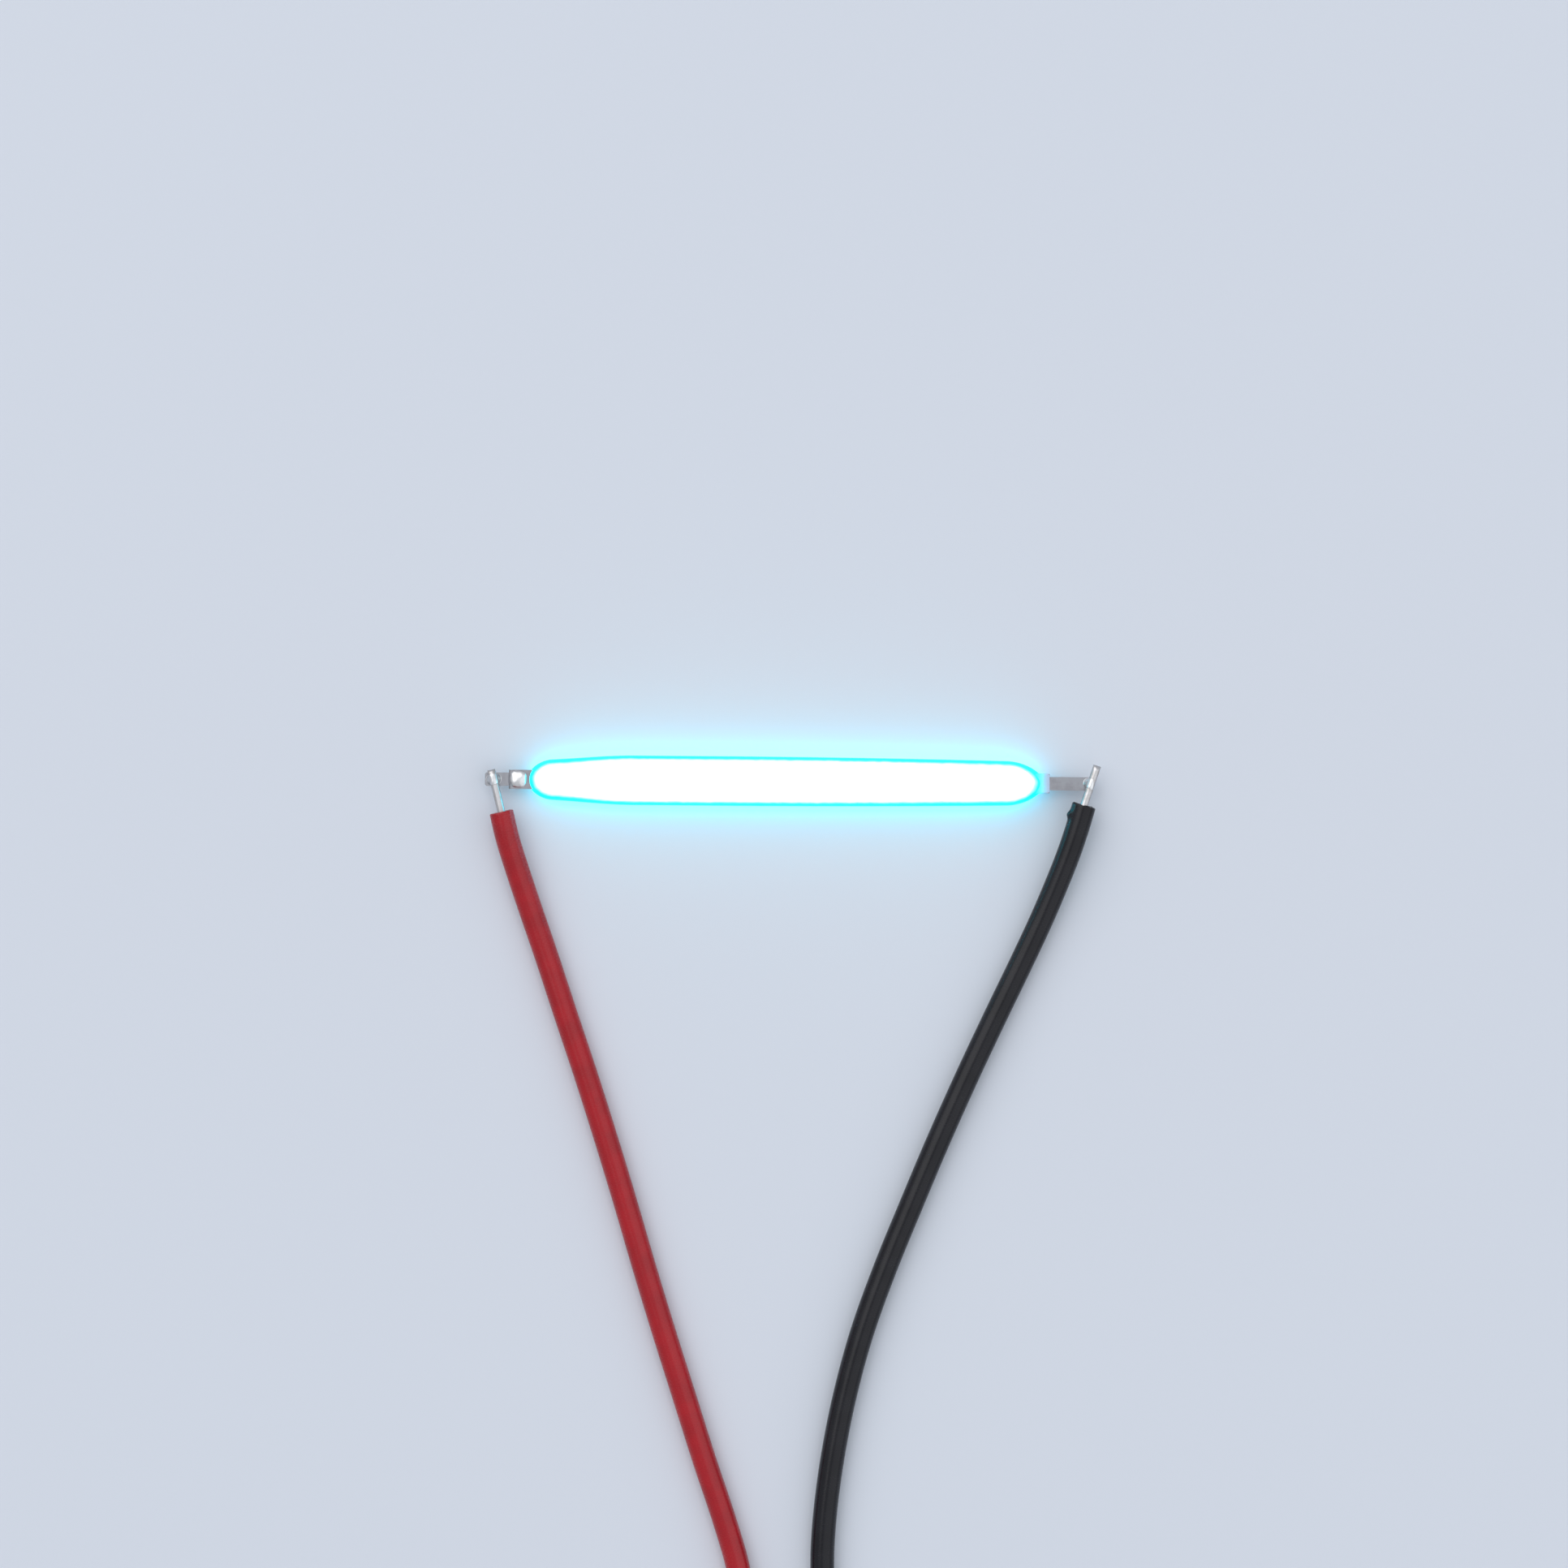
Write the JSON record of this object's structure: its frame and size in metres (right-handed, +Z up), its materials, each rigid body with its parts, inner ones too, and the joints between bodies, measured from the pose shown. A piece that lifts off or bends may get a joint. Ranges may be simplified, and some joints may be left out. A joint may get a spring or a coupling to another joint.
{
  "type": "led filament",
  "caption": "Slim straight LED filament in a phosphor silicone coat, with a metal tab at each end and a red and a black lead soldered to the tabs.",
  "frame": {"origin": "The middle of the filament's length and width, at the height of the surface that it lies on.", "axes": "+X runs along the filament from the positive tab to the negative tab, +Z is up, away from the surface, and the leads leave towards -Y."},
  "size_m": [0.0428, 0.0778, 0.003],
  "materials": {
    "ceramic": "matte",
    "silver_print": "satin",
    "tab_metal": "satin",
    "clear_adhesive": "clear",
    "sapphire_die": "polished",
    "gold_wire": "polished",
    "phosphor_silicone": "satin, lit",
    "solder": "glossy",
    "tinned_copper": "satin",
    "red_insulation": "satin",
    "black_insulation": "satin"
  },
  "bodies": {
    "root": {"ceramic_strip": "ceramic", "positive_rail": "silver_print", "negative_rail": "silver_print", "positive_tab": "tab_metal", "negative_tab": "tab_metal", "die_attach": "clear_adhesive", "led_die_01": "sapphire_die", "led_die_02": "sapphire_die", "led_die_03": "sapphire_die", "led_die_04": "sapphire_die", "led_die_05": "sapphire_die", "led_die_06": "sapphire_die", "led_die_07": "sapphire_die", "led_die_08": "sapphire_die", "led_die_09": "sapphire_die", "led_die_10": "sapphire_die", "led_die_11": "sapphire_die", "led_die_12": "sapphire_die", "led_die_13": "sapphire_die", "led_die_14": "sapphire_die", "led_die_15": "sapphire_die", "led_die_16": "sapphire_die", "led_die_17": "sapphire_die", "led_die_18": "sapphire_die", "led_die_19": "sapphire_die", "led_die_20": "sapphire_die", "bond_wires_01": "gold_wire", "bond_wires_02": "gold_wire", "bond_wires_03": "gold_wire", "bond_wires_04": "gold_wire", "bond_wires_05": "gold_wire", "bond_wires_06": "gold_wire", "bond_wires_07": "gold_wire", "bond_wires_08": "gold_wire", "bond_wires_09": "gold_wire", "bond_wires_10": "gold_wire", "bond_wires_11": "gold_wire", "bond_wires_12": "gold_wire", "bond_wires_13": "gold_wire", "bond_wires_14": "gold_wire", "bond_wires_15": "gold_wire", "bond_wires_16": "gold_wire", "bond_wires_17": "gold_wire", "bond_wires_18": "gold_wire", "bond_wires_19": "gold_wire", "bond_wires_20": "gold_wire", "front_coat": "phosphor_silicone", "back_coat": "phosphor_silicone", "positive_solder": "solder", "negative_solder": "solder", "solder_pool": "solder", "red_core": "tinned_copper", "red_wire": "red_insulation", "red_coil": "red_insulation", "red_tip": "tinned_copper", "black_core": "tinned_copper", "black_wire": "black_insulation", "black_coil": "black_insulation", "black_tip": "tinned_copper"}
  },
  "joints": []
}
